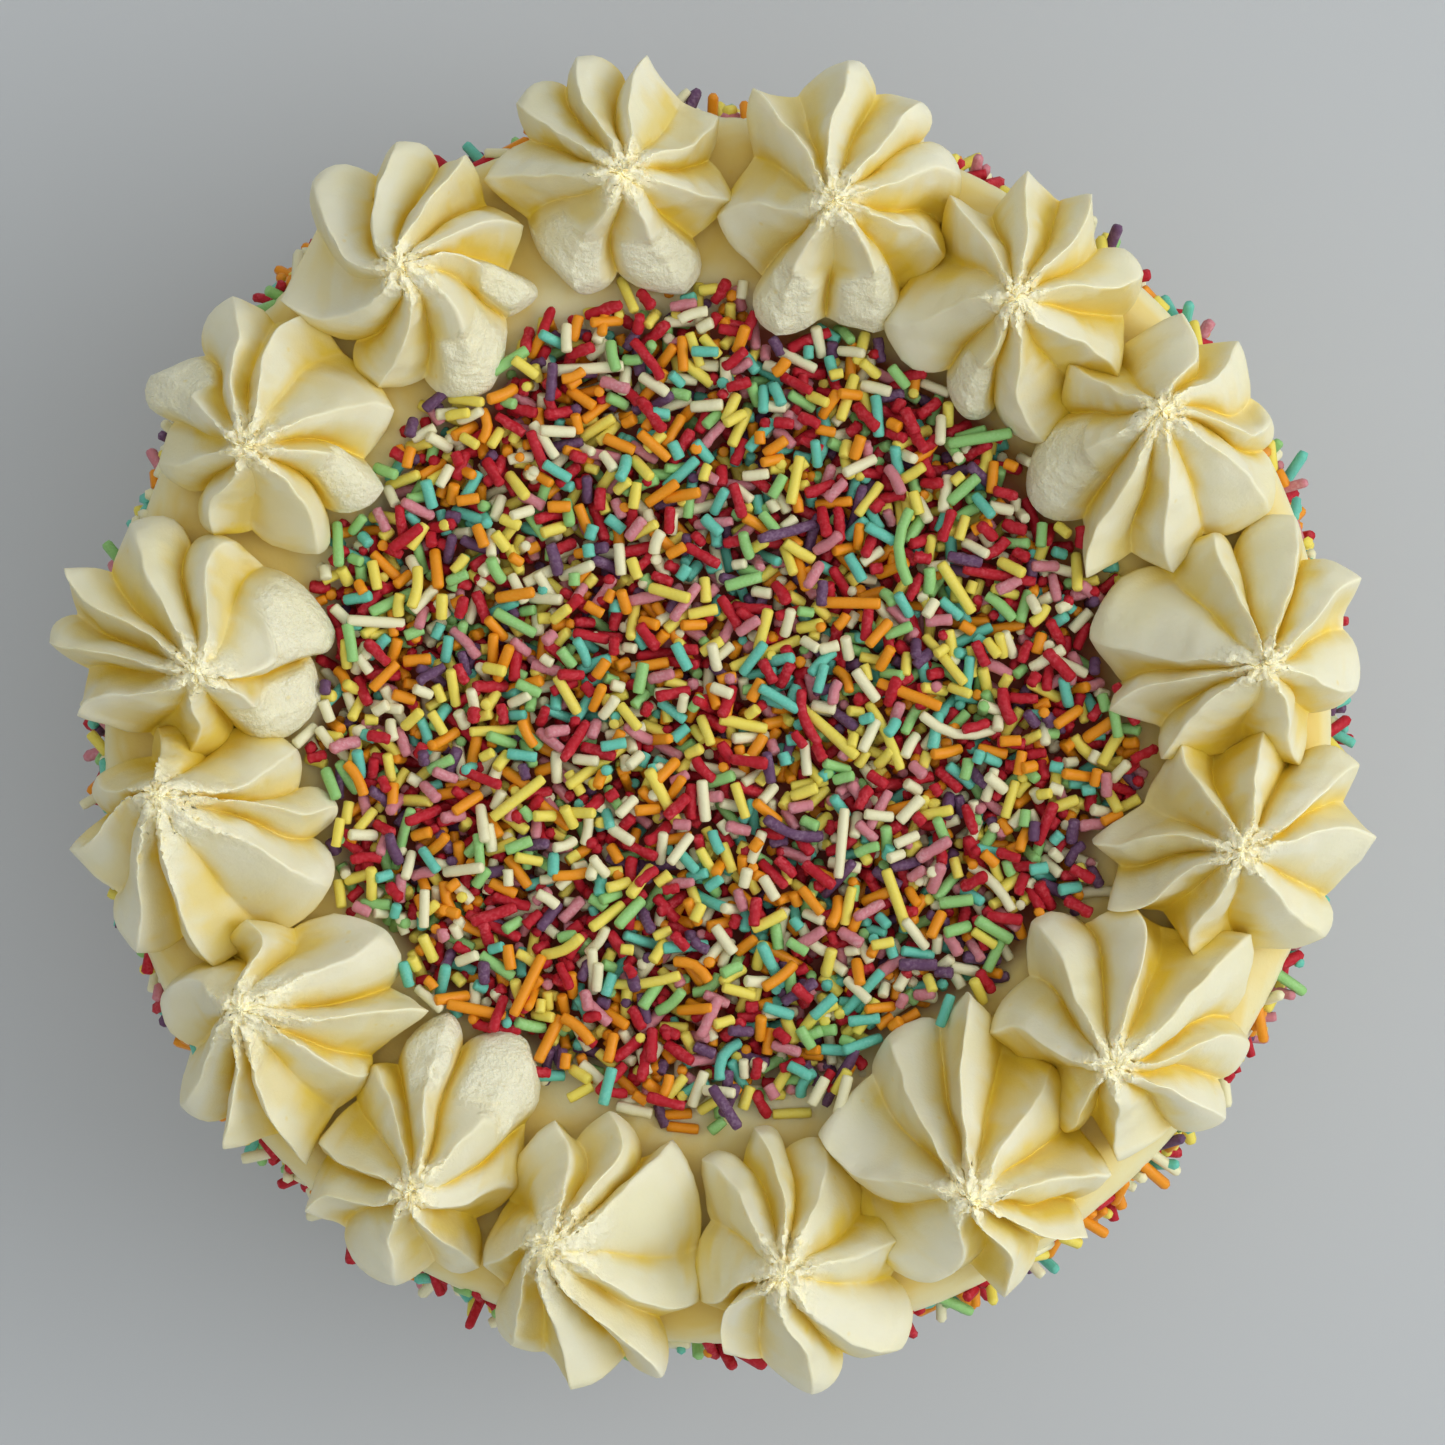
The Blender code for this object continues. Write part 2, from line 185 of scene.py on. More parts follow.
# Pressed sugar: each strand a little lighter or darker, with a dusty or a waxy skin
def buildSugarGroup():
    group, given, out = newGroup("pressedSugar", {
        "Colour": (0.8, 0.1, 0.1, 1.0),
        "Dust Colour": (0.9, 0.4, 0.4, 1.0),
        "Dust": 0.3,
        "Grain Size": 1800.0,
    })
    where = addNode(group, "ShaderNodeTexCoord").outputs["Object"]
    grain = noiseNode(group, where, given["Grain Size"], 1.0, 0.65)
    speckle = remap(group, grain, 0.42, 0.72)
    patches = remap(group, noiseNode(group, where, 420.0, 0.0), 0.35, 0.75, 0.15, 0.8)
    dusty = mathNode(group, "MULTIPLY", mathNode(group, "MULTIPLY", speckle, patches), given["Dust"])
    group.links.new(blend(group, dusty, given["Colour"], given["Dust Colour"]), out["Colour"])
    group.links.new(grain, out["Height"])
    return group


icingGroup = buildIcingGroup()
sugarGroup = buildSugarGroup()


# A material whose colour and relief come from a shader group, with its own values for it
def groupMaterial(name, group, values, bumpStrength, bumpDistance):
    material = bpy.data.materials.new(name)
    material.use_nodes = True
    tree = material.node_tree
    shader = tree.nodes["Principled BSDF"]
    effect = addNode(tree, "ShaderNodeGroup", values, node_tree=group)
    bump = addNode(tree, "ShaderNodeBump", {"Strength": bumpStrength, "Distance": bumpDistance,
                                            "Height": effect.outputs["Height"]})
    tree.links.new(effect.outputs["Colour"], shader.inputs["Base Color"])
    tree.links.new(bump.outputs["Normal"], shader.inputs["Normal"])
    return material, effect, shader


# Icing finish with painted shade in its hollows and air holes, shared by the body and the stars but with
# its own values on each
def icingMaterial(name, look):
    values = {key: (*look[key], 1.0)
              for key in ("Colour", "Cloud Colour", "Painted Shade Colour", "Patch Colour")}
    values["Air Holes"] = look["Air Holes"]
    material, effect, shader = groupMaterial(name, icingGroup, values, look["bump"],
                                             icingTexture["bumpDistance"])
    for key in ("Hollow", "Patch", "Rough"):
        reading = addNode(material.node_tree, "ShaderNodeAttribute", attribute_name=key.lower())
        material.node_tree.links.new(reading.outputs["Fac"], effect.inputs[key])
    shader.inputs["Roughness"].default_value = look["roughness"]
    shader.inputs["Specular IOR Level"].default_value = look["gloss"]
    shader.subsurface_method = "BURLEY"
    shader.inputs["Subsurface Weight"].default_value = look["glow"]
    shader.inputs["Subsurface Radius"].default_value = (1.0, 0.72, 0.32)
    shader.inputs["Subsurface Scale"].default_value = look["glowDepth"]
    return material


def setMask(piece, name, values):
    mask = piece.data.attributes.new(name, "FLOAT", "POINT")
    mask.data.foreach_set("value", np.asarray(values, dtype=np.float32))


def standFor(piece, slotName, *nodes):
    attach(piece, "root")
    if nodes:
        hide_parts(*nodes)


# Drop stars

starLook = {
    "Colour": (0.765, 0.735, 0.55),
    "Cloud Colour": (0.755, 0.715, 0.48),
    # painted shade colour for the hollows and air holes
    "Painted Shade Colour": (0.765, 0.56, 0.035),
    "Patch Colour": (0.82, 0.79, 0.58),
    "Air Holes": 0.7,
    "bump": 0.55,
    "roughness": 0.5,
    "gloss": 0.3,
    "glow": 0.5,
    "glowDepth": 1.3 * mm,
}

starShape = {
    "petals": 8,
    "samplesPerSide": 10,       # from a crest to the hollow beside it
    "levels": 60,
    "wallShare": 0.15,          # share of the levels in the upright end of a petal
    "hollowReach": (0.72, 0.85),  # where a hollow meets the cake, as a share of the reach
    "pointedEnd": (0.28, 0.40),  # height of a petal's end, of the star's height
    "roundedEnd": (0.24, 0.34),
    "endRounding": 0.09,
    "crestBend": 11.0,          # degrees to either side
    "crestCurl": 6.0,
    "hollowShift": 0.20,        # of the gap between two crests
    # degrees that the crests have swung round by the tip, star by star
    "twists": (0, 6, -4, -7, -4, 0, -4, 0, -18, -30, -12, -7, -15, -6, 13, 40),
    "tipHeight": 0.98,          # of the star's height, before it is torn off
    "crestArch": 0.12,
    "crestRound": 0.03,
    "crestLip": 0.010,
    "fall": 0.74,               # share of its height that a petal loses close to its crest
    "cutFall": 0.16,            # the same where it is squashed flat
    "steepness": 4.2,           # of the flank below
    "narrowGap": (38.0, 16.0),  # degrees between crests, from where a hollow gets shallower
    "tuck": 0.08,               # how far a petal's end is drawn in at its foot
    "lopsided": (0.3, 1.0),     # from an even petal to a crest along one side
    "sag": 0.75 * mm,
    "sagLength": 9.0 * mm,
    "dent": 0.30 * mm,
    "dentLength": 3.2 * mm,
    "streak": 0.20 * mm,
    "tear": 0.66 * mm,
    "crumbLengths": (0.95 * mm, 0.42 * mm),
    "crumbSpread": (0.65, 0.65, 1.0),   # more up and down than sideways, so that nothing folds over
    "tornPits": 0.28 * mm,
    "pitLength": 1.0 * mm,
    "tearReach": 0.34,          # of the star's reach, and further on some
    "longTears": {9: 0.46, 10: 0.52, 12: 0.54, 13: 0.60},
    "tornDisc": 0.25,           # crumbly all the way round, of the reach, and more on some
    "wideDiscs": {1: 0.31, 2: 0.30, 9: 0.34, 10: 0.42, 12: 0.33, 13: 0.33, 14: 0.30,
                  15: 0.29, 16: 0.29},
    "cutDepth": 0.12,           # of the star's height
    "cutRoughness": 0.42 * mm,
    "spongeLengths": (1.3 * mm, 0.6 * mm),
    "tornPatch": 0.9,           # how much paler the torn middle and the cut ends are
    "cutPatch": 0.45,
    "droop": 4.0,               # per metre, of what hangs out past the overhang
    "overhang": 80.0 * mm,
    "seed": 40,
}

# Each star as piped, clockwise from the back, in millimetres and degrees: bearing and distance
# of its foot, lean of its tip, first petal, each petal's turn off an even eighth, its reach and end
# (r rounded, p pointed, c cut flat).
stars = (
    (100, 75.5, (1.0, -2.5), 112, (-2, 7, 2, 5, 5, 6, -15, -8),
     (14.5, 14.0, 14.5, 16.5, 19.0, 17.5, 18.0, 15.5), "rpppccpr"),
    (76, 72.0, (-2.0, -2.0), 98, (-6, 0, 2, 4, 3, 8, 0, -11),
     (17.5, 16.0, 15.0, 14.5, 18.5, 20.5, 17.5, 18.5), "rrrpccpp"),
    (54, 69.5, (-2.5, -0.5), 97, (-6, 6, 5, -3, 0, 10, 3, -14),
     (16.5, 16.0, 15.5, 15.5, 18.5, 17.5, 19.0, 17.0), "pprprcrp"),
    (32, 69.0, (-1.5, 4.5), 99, (-15, 2, 5, 6, -6, 4, 9, -6),
     (17.5, 17.0, 15.0, 16.0, 16.0, 19.5, 18.5, 17.0), "pprrppcp"),
    (9, 69.5, (1.5, -2.5), 71, (-3, 3, -2, -1, -18, 0, 16, -12),
     (18.5, 18.0, 16.0, 17.0, 18.0, 19.0, 19.5, 15.5), "rprppprr"),
    (-12, 69.5, (-0.5, -1.0), 80, (-5, -4, 11, 9, -10, -7, 10, -4),
     (15.0, 18.5, 18.0, 17.0, 16.5, 19.0, 19.5, 15.0), "prprpppp"),
    (-36, 67.0, (-3.5, -3.5), 89, (1, -5, -5, 3, -6, 12, 2, -1),
     (16.5, 20.0, 15.5, 17.0, 17.0, 15.5, 19.0, 19.5), "pprrprpr"),
    (-58, 65.0, (-1.5, -4.5), 93, (2, 2, -12, 2, 7, 17, -9, -9),
     (21.0, 15.0, 17.0, 18.0, 19.0, 19.0, 21.5, 19.5), "prppprpr"),
    (-82, 69.5, (-1.0, -1.0), 57, (16, -2, -7, -3, -4, 12, -15, 3),
     (16.0, 15.5, 19.0, 18.5, 15.0, 13.5, 17.0, 17.5), "rrrrpprr"),
    (-103, 70.5, (-5.5, 3.0), 127, (-21, 3, 20, -14, -9, -2, 10, 13),
     (18.5, 19.0, 18.5, 14.5, 18.0, 18.0, 16.5, 14.5), "prprrprp"),
    (-125, 67.5, (-0.5, -4.0), 77, (2, 13, -9, -5, 1, -5, 6, -4),
     (18.5, 20.0, 13.5, 17.0, 18.0, 17.0, 13.5, 13.0), "ccrrrppr"),
    (-144, 69.5, (-5.0, 5.0), 107, (0, -11, -4, 6, -8, -1, 13, 6),
     (17.0, 19.5, 19.0, 11.5, 16.0, 16.0, 16.5, 17.5), "prprpprr"),
    (-168, 68.5, (-4.5, 5.5), 102, (11, -13, 1, 13, -8, 2, -8, 3),
     (16.0, 17.0, 17.5, 17.5, 17.0, 17.5, 17.5, 16.5), "rrrrprpr"),
    (170, 72.0, (4.0, -5.0), 99, (14, 4, -8, 11, -4, -14, -5, 4),
     (16.0, 15.0, 21.0, 21.0, 16.5, 16.5, 16.5, 16.5), "rrccrprp"),
    (146, 70.5, (-2.0, -2.5), 108, (-2, 7, -9, 0, 3, -1, 0, 2),
     (18.0, 16.0, 16.5, 16.5, 17.5, 15.5, 15.5, 17.5), "rppcrrrc"),
    (122, 72.5, (-2.0, -2.0), 110, (-9, 1, 0, 8, 7, 6, -4, -9),
     (16.0, 14.5, 14.0, 15.5, 19.0, 18.0, 19.0, 18.0), "rppccrpr"),
)

# Height of a hollow's floor (of the star's height) by distance from the middle (of the reach)
hollowDistance = (0.0, 0.08, 0.14, 0.21, 0.32, 0.50, 0.62, 0.72, 1.0)
hollowHeight = (0.91, 0.885, 0.80, 0.66, 0.51, 0.32, 0.22, 0.14, 0.06)


# Petals anticlockwise, each with its bearing, reach and the chances of its own piping
def starPetals(star, chance):
    foot, distance, lean, firstPetal, turns, reaches, ends = star
    petals = []
    for number, (turn, reach, end) in enumerate(zip(turns, reaches, ends)):
        low, high = starShape["roundedEnd"] if end == "r" else starShape["pointedEnd"]
        petals.append({
            "bearing": math.radians(firstPetal - 360.0 / starShape["petals"] * number + turn),
            "reach": reach * mm,
            "end": end,
            "endHeight": chance.uniform(low, high),
            "bend": math.radians(chance.uniform(-1.0, 1.0) * starShape["crestBend"]),
            "curl": math.radians(chance.uniform(-1.0, 1.0) * starShape["crestCurl"]),
            "hollowPlace": 0.5 + chance.uniform(-1.0, 1.0) * starShape["hollowShift"],
            "hollowReach": chance.uniform(*starShape["hollowReach"]),
            "lopsided": chance.choice([-1.0, 1.0]) * chance.uniform(*starShape["lopsided"]),
        })
    petals.reverse()
    return petals


def crestBearing(petal, inward):
    return (petal["bearing"] + petal["bend"] * np.sin(math.pi * inward)
            + petal["curl"] * np.sin(2.0 * math.pi * inward))


# Height of a crest, of the star's height, by how far in from the petal's end it has come
def crestHeight(petal, inward):
    low, arch = petal["endHeight"], starShape["crestArch"]
    rise = low + (starShape["tipHeight"] - low) * ((1.0 + arch) * inward - arch * inward ** 2)
    reach = starShape["endRounding"] * (0.5 if petal["end"] == "p" else 1.0)
    rise = rise - 0.8 * reach * np.clip(1.0 - inward / reach, 0.0, 1.0) ** 2
    return rise * (1.0 - 0.08 * smoothStep(0.80, 0.97, inward))     # the tip is torn off


# Bearing, distance and height of points from a crest to the hollow beside it, and where it is cut
def starSide(near, far, along, inward, wall, forward, disc):
    first, second = (near, far) if forward else (far, near)
    firstCrest, secondCrest = crestBearing(first, inward), crestBearing(second, inward)
    hollowBearing = firstCrest + (secondCrest - firstCrest) * first["hollowPlace"]
    nearCrest = firstCrest if forward else secondCrest
    bearing = nearCrest + (hollowBearing - nearCrest) * along
    pointed = {"r": 0.0, "c": 0.1, "p": 1.0}[near["end"]]
    outer = smoothStep(0.55, 0.0, inward)
    broad = near["lopsided"] * (1.0 if forward else -1.0)    # positive on the petal's broad side
    # the outline of a petal's end, from a blunt lobe to a point
    roundPlan = (1.0 - along ** (1.7 + 0.8 * broad)) ** (0.88 - 0.14 * broad)
    sharpPlan = (1.0 - along) ** (0.78 + (0.60 - 0.42 * broad) * outer * pointed)
    plan = sharpPlan + (roundPlan - sharpPlan) * outer * (1.0 - 0.9 * pointed)
    # its cross-section: falling from a crisp crest, steep and hollowed on one side, broad on the other
    fall = np.clip(starShape["fall"] + 0.12 * outer - 0.22 * broad, 0.3, 0.98)
    if near["end"] == "c":      # squashed flat towards its end
        fall = fall + (starShape["cutFall"] - fall) * smoothStep(0.5, 0.25, inward)
    steepness = starShape["steepness"] - 1.6 * outer
    bead = np.sqrt(along ** 2 + starShape["crestRound"] ** 2) - starShape["crestRound"]
    bead = bead / bead.max()
    drop = 1.0 - (1.0 - bead) ** (1.25 - 0.45 * broad)
    slope = 1.0 - fall * drop - (1.0 - fall) * along ** steepness
    hollowReach = 0.5 * (near["reach"] + far["reach"]) * first["hollowReach"]
    crestShare = 1.0 - inward
    hollowAt = hollowReach * crestShare
    crest = crestHeight(near, inward)
    floor = np.interp(first["hollowReach"] * crestShare, hollowDistance, hollowHeight)
    # a hollow between two crests that run close together is shallower
    shallow = 0.55 * smoothStep(*starShape["narrowGap"], np.degrees(secondCrest - firstCrest))
    # and so is one that crumbs have filled in a torn middle
    crumbs = np.clip(4.0 * (disc - 0.22), 0.0, 0.65)
    filled = crumbs * smoothStep(1.0 - 1.2 * disc, 1.0 - 0.6 * disc, inward)
    shallow = np.maximum(shallow, filled)
    floor = floor + (0.5 * (crest + crestHeight(far, inward)) - floor) * shallow
    # the upright end of the petal, tucked in a little where it meets the cake
    tuck = 1.0 - starShape["tuck"] * (1.0 - wall) ** 2
    crest = crest * wall ** 0.85
    floor = floor * wall
    distance = (hollowAt + (near["reach"] * crestShare - hollowAt) * plan) * tuck
    lip = starShape["crestLip"] * np.exp(-(along / 0.08) ** 2) * wall * smoothStep(1.0, 0.8, inward)
    height = floor + (crest - floor) * slope + lip
    cut = np.zeros_like(height)
    if near["end"] == "c":
        depth = starShape["cutDepth"] * smoothStep(0.43, 0.37, inward)
        ceiling = crest - depth * wall
        cut = smoothStep(0.0, 0.012, height - ceiling) * smoothStep(0.0, 0.02, depth)
        height = np.minimum(height, ceiling + 0.05 * (height - ceiling))
    return bearing, distance, height, cut


def starArrays(index):
    star = stars[index]
    chance = np.random.default_rng(starShape["seed"] + index)
    petals = starPetals(star, chance)
    low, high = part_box(f"rosette_{index + 1:02d}")
    base = low.z - 0.4 * mm
    height = high.z - base
    foot = compass(np.array(math.radians(star[0]))) * star[1] * mm
    lean = np.array([star[2][0] * mm, star[2][1] * mm, 0.0])
    twist = math.radians(starShape["twists"][index])
    tearReach = starShape["longTears"].get(index + 1, starShape["tearReach"])
    disc = starShape["wideDiscs"].get(index + 1, starShape["tornDisc"])
    side = starShape["samplesPerSide"]
    even = np.arange(side + 1) / side
    along = (even - 0.11 * np.sin(2.0 * math.pi * even))[None, :]   # closer at crest and hollow
    levels = np.linspace(0.0, 1.0, starShape["levels"])
    wall = np.clip(levels / starShape["wallShare"], 0.0, 1.0)[:, None]
    rise = np.clip((levels - starShape["wallShare"]) / (1.0 - starShape["wallShare"]), 0.0, 1.0)
    inward = (rise ** 1.12 * 0.985)[:, None]
    columns, masks = [], []
    for number, petal in enumerate(petals):
        following = dict(petals[(number + 1) % len(petals)])
        while following["bearing"] < petal["bearing"]:
            following["bearing"] += 2.0 * math.pi
        for near, far, forward in ((petal, following, True), (following, petal, False)):
            away = along if forward else along[:, ::-1]
            bearing, distance, lift, cut = starSide(near, far, away, inward, wall, forward, disc)
            hollow = smoothStep(0.65, 1.0, away) * smoothStep(0.97, 0.6, inward)
            # beyond the torn disc only the crests are crumbly
            beyond = smoothStep(1.0 - 0.7 * disc, 1.0 - 1.3 * disc, inward)
            crestOnly = 1.0 - 0.95 * smoothStep(0.0, 0.35, away) * beyond
            torn = smoothStep(0.92 - tearReach, 0.97 - 0.4 * tearReach, inward) * crestOnly
            bearing, distance, lift, hollow, torn, cut = np.broadcast_arrays(
                bearing + twist * inward, distance, lift, hollow, torn, cut)
            middle = lean * smoothStep(0.0, 1.0, inward)[..., None]
            points = foot + middle + compass(bearing) * distance[..., None]
            points[..., 2] = base + lift * height
            columns.append(points[:, :side])
            masks.append(np.stack([hollow, torn, cut], -1)[:, :side])
    return np.concatenate(columns, 1), np.concatenate(masks, 1), foot, base


# Dents, piping streaks, the torn middle and the spongy cut ends, as real relief
def workSurface(points, masks):
    rows, around = points.shape[:2]
    shape = starShape
    streakSeed = points[0, 0, 0] * 1000.0
    crumbSpread = Vector(shape["crumbSpread"])
    coarseCrumb, fineCrumb = shape["crumbLengths"]
    coarseSponge, fineSponge = shape["spongeLengths"]
    for row in range(rows):
        for column in range(around):
            point = Vector(points[row, column])
            hollow, torn, cut = masks[row, column]
            move = noise.noise_vector(point / shape["sagLength"]) * shape["sag"]
            dent = noise.noise_vector(point / shape["dentLength"]) * shape["dent"]
            move += dent * (1.0 - hollow)
            streak = noise.noise(Vector((column * 0.55 + streakSeed, row * 0.05, 3.0)))
            move.z += streak * shape["streak"]
            if torn > 0.02:
                crumb = noise.noise_vector(point / coarseCrumb)
                crumb += 0.9 * noise.noise_vector(point / fineCrumb)
                move += crumb * crumbSpread * (shape["tear"] * torn)
                pit = float(smoothStep(0.22, 0.5, noise.noise(point / shape["pitLength"]))) * torn
                move.z -= shape["tornPits"] * pit
            if cut > 0.0:
                sponge = noise.noise(point / coarseSponge) + 0.7 * noise.noise(point / fineSponge)
                move.z += sponge * shape["cutRoughness"] * cut
            over = max(0.0, point.xy.length - shape["overhang"])
            move.z -= shape["droop"] * over ** 2
            points[row, column] += np.array(move)


def makeStar(index, material):
    points, masks, foot, base = starArrays(index)
    workSurface(points, masks)
    rows, around = points.shape[:2]
    tip = points[-1].mean(0)
    under = np.array([foot[0], foot[1], base])
    every = np.vstack([points.reshape(-1, 3), under, tip])
    name = f"rosette_{index + 1:02d}_piped"
    piece = meshFromArrays(name, every, ringFaces(rows, around), material)
    torn, cut = masks.reshape(-1, 3)[:, 1:].T
    paler = np.maximum(starShape["tornPatch"] * torn, starShape["cutPatch"] * cut)
    setMask(piece, "patch", np.append(paler, [0.0, 1.0]))       # the foot, then the tip
    setMask(piece, "rough", np.append(np.maximum(torn, cut), [0.0, 1.0]))
    standFor(piece, "piped_buttercream", f"rosette_{index + 1:02d}")
    return piece


# How much of the sky each point misses, the mask for painted shade: there the icing is coloured darker
# and yellow, as light that gets between petals and stars would turn it
skyViews = {"climbs": (22.0, 50.0), "bearings": 6, "reach": 16.0 * mm, "lift": 0.2 * mm,
            "strength": 0.95, "starRange": (0.29, 0.87), "bodyRange": (0.30, 0.85)}


def vertexArray(piece, key):
    flat = np.empty(len(piece.data.vertices) * 3)
    piece.data.vertices.foreach_get(key, flat)
    return flat.reshape(-1, 3)


def starTree():
    points, faces, start = [], [], 0
    for piece in starPieces:
        points += vertexArray(piece, "co").tolist()
        faces += [[start + corner for corner in face.vertices] for face in piece.data.polygons]
        start = len(points)
    return BVHTree.FromPolygons(points, faces)


def skyHidden(tree, points, normals, least, most):
    views = []
    for number, degrees in enumerate(skyViews["climbs"]):
        climb = math.radians(degrees)
        for step in range(skyViews["bearings"]):
            turn = 2.0 * math.pi * (step + 0.5 * number) / skyViews["bearings"]
            flat = math.cos(climb)
            views.append(Vector((flat * math.cos(turn), flat * math.sin(turn), math.sin(climb))))
    result = np.zeros(len(points))
    for number, start in enumerate(points + normals * skyViews["lift"]):
        spot = Vector(start)
        misses = sum(tree.ray_cast(spot, view, skyViews["reach"])[0] is not None for view in views)
        result[number] = misses / len(views)
    return skyViews["strength"] * smoothStep(least, most, result)


def shadeStar(piece, tree):
    around = starShape["petals"] * 2 * starShape["samplesPerSide"]
    grid = (starShape["levels"], around, 3)
    # every second point each way is looked at, and the ones between are filled in
    points = vertexArray(piece, "co")[:-2].reshape(grid)[::2, ::2]
    normals = vertexArray(piece, "normal")[:-2].reshape(grid)[::2, ::2]
    found = skyHidden(tree, points.reshape(-1, 3), normals.reshape(-1, 3), *skyViews["starRange"])
    found = found.reshape(points.shape[:2])
    fine = np.repeat(np.repeat(found, 2, 0), 2, 1)
    fine[:, 1::2] = 0.5 * (fine[:, 1::2] + np.roll(fine, -1, 1)[:, 1::2])
    fine[1:-1:2] = 0.5 * (fine[1:-1:2] + fine[2::2])
    broken = np.zeros(len(piece.data.vertices))
    piece.data.attributes["rough"].data.foreach_get("value", broken)
    # painted shade on the stars: the shade colour where they miss the sky, less on torn and cut parts
    setMask(piece, "hollow", np.append(fine.ravel(), [1.0, 0.0]) * (1.0 - 0.6 * broken))


starIcing = icingMaterial("pipedButtercream", starLook)
starPieces = [makeStar(index, starIcing) for index in range(len(stars))]
piledStars = starTree()
for starPiece in starPieces:
    shadeStar(starPiece, piledStars)
print("drop stars piped:", len(starPieces))


# Body

bodyLook = {
    "Colour": (0.785, 0.74, 0.465),
    "Cloud Colour": (0.775, 0.72, 0.415),
    # painted shade colour between the stars and in air holes
    "Painted Shade Colour": (0.78, 0.53, 0.03),
    "Patch Colour": (0.30, 0.050, 0.020),   # painted shade under the strands: dark red, as the shadowed gaps between them look
    "Air Holes": 0.6,
    "bump": 0.4,
    "roughness": 0.5,
    "gloss": 0.3,
    "glow": 0.5,
    "glowDepth": 1.6 * mm,
}

bodyShape = {
    "radius": 82.0 * mm,
    "height": 95.0 * mm,
    "edge": 6.0 * mm,
    "foot": 1.5 * mm,
    "wave": 0.5 * mm,
    "segments": 220,
    "wallRows": 26,
    "edgeRows": 9,
    "topRows": 34,
    "spread": 0.35 * mm,        # unevenness left by the palette knife
    # how strongly painted shade colours the top where the stars hide the sky
    "paintedShadeStrength": 0.75,
    "bedCentre": (0.4 * mm, 2.0 * mm),
    "bedDip": 2.6 * mm,         # where the strands have sunk in
}


def wallRadius(bearing, height):
    wave = np.sin(3.0 * bearing + 0.7) + 0.6 * np.sin(7.0 * bearing + 40.0 * height)
    return bodyShape["radius"] - bodyShape["wave"] + 0.5 * bodyShape["wave"] * wave


# Edge of the bed: distance from its centre by bearing, in degrees and millimetres
bedBearings = (0, 40, 75, 110, 150, 180, 225, 255, 285, 305, 325, 360)
bedDistances = (57, 57, 57, 56.5, 56, 57, 55.5, 51.5, 52, 51.5, 55, 57)


# How far inside the edge of the bed a point lies
def insideBed(x, y):
    centreX, centreY = bodyShape["bedCentre"]
    bearing = np.degrees(np.arctan2(y - centreY, x - centreX)) % 360.0
    edge = np.interp(bearing, bedBearings, bedDistances) * mm
    return edge - np.hypot(x - centreX, y - centreY)


# How far the strands have pressed the icing down there
def bedDip(x, y):
    return bodyShape["bedDip"] * smoothStep(1.0 * mm, 6.0 * mm, insideBed(x, y))


def makeBody(material):
    shape = bodyShape
    bearing = np.linspace(0.0, 2.0 * math.pi, shape["segments"], endpoint=False)
    shoulder = shape["height"] - shape["edge"]
    profile = [(-shape["foot"], 0.0), (-0.3 * shape["foot"], 0.3 * shape["foot"])]
    profile += [(0.0, shape["foot"] + (shoulder - shape["foot"]) * i / shape["wallRows"])
                for i in range(shape["wallRows"] + 1)]
    for i in range(1, shape["edgeRows"] + 1):
        turn = 0.5 * math.pi * i / shape["edgeRows"]
        profile.append((-shape["edge"] * (1.0 - math.cos(turn)),
                        shoulder + shape["edge"] * math.sin(turn)))
    rows = []
    for inset, height in profile:
        radius = wallRadius(bearing, min(height, shoulder)) + inset
        rows.append(compass(bearing) * radius[:, None] + np.array([0.0, 0.0, height]))
    rim = rows[-1]
    for i in range(1, shape["topRows"]):
        share = 1.0 - i / shape["topRows"]
        row = rim * share
        row[:, 2] = shape["height"]
        rows.append(row)
    points = np.array(rows)
    for row in range(3, points.shape[0]):
        for column in range(points.shape[1]):
            point = Vector(points[row, column])
            knife = Vector((math.atan2(point.y, point.x) * 9.0, point.z / (9.0 * mm),
                            point.xy.length / (7.0 * mm)))
            dent = noise.noise(point / (14.0 * mm)) + 0.35 * noise.noise(knife)
            out = point.xy.normalized() if point.xy.length > 1e-6 else Vector((0.0, 0.0))
            upward = min(1.0, max(0.0, (point.z - shoulder) / shape["edge"]))
            facing = Vector((out.x * (1.0 - upward), out.y * (1.0 - upward), upward))
            points[row, column] += np.array(facing * dent * shape["spread"])
    onTop = points[..., 2] > shape["height"] - 1.5 * mm
    points[..., 2] -= np.where(onTop, bedDip(points[..., 0], points[..., 1]), 0.0)
    every = np.vstack([points.reshape(-1, 3), [0.0, 0.0, 0.0],
                       [0.0, 0.0, shape["height"] - shape["bedDip"]]])
    piece = meshFromArrays("icedBody", every, ringFaces(*points.shape[:2]), material)
    seen = every[:, 2] > shoulder
    hidden = np.zeros(len(every))
    normals = vertexArray(piece, "normal")
    hidden[seen] = skyHidden(piledStars, every[seen], normals[seen], *skyViews["bodyRange"])
    level = smoothStep(shoulder, shape["height"] - 1.0 * mm, every[:, 2])
    # painted shade under the strand bed, from a little inside its edge
    shadeUnderStrands = smoothStep(2.5 * mm, 6.0 * mm, insideBed(every[:, 0], every[:, 1]))
    # painted shade on the top of the body where the stars hide the sky
    setMask(piece, "hollow", shape["paintedShadeStrength"] * hidden * level)
    # painted shade: the dark red patch colour under the strand bed
    setMask(piece, "patch", seen * shadeUnderStrands)
    setMask(piece, "rough", np.zeros(len(every)))
    standFor(piece, "buttercream", "frosted_cake")
    return piece


makeBody(icingMaterial("spreadButtercream", bodyLook))
print("body iced")


# Sugar strands

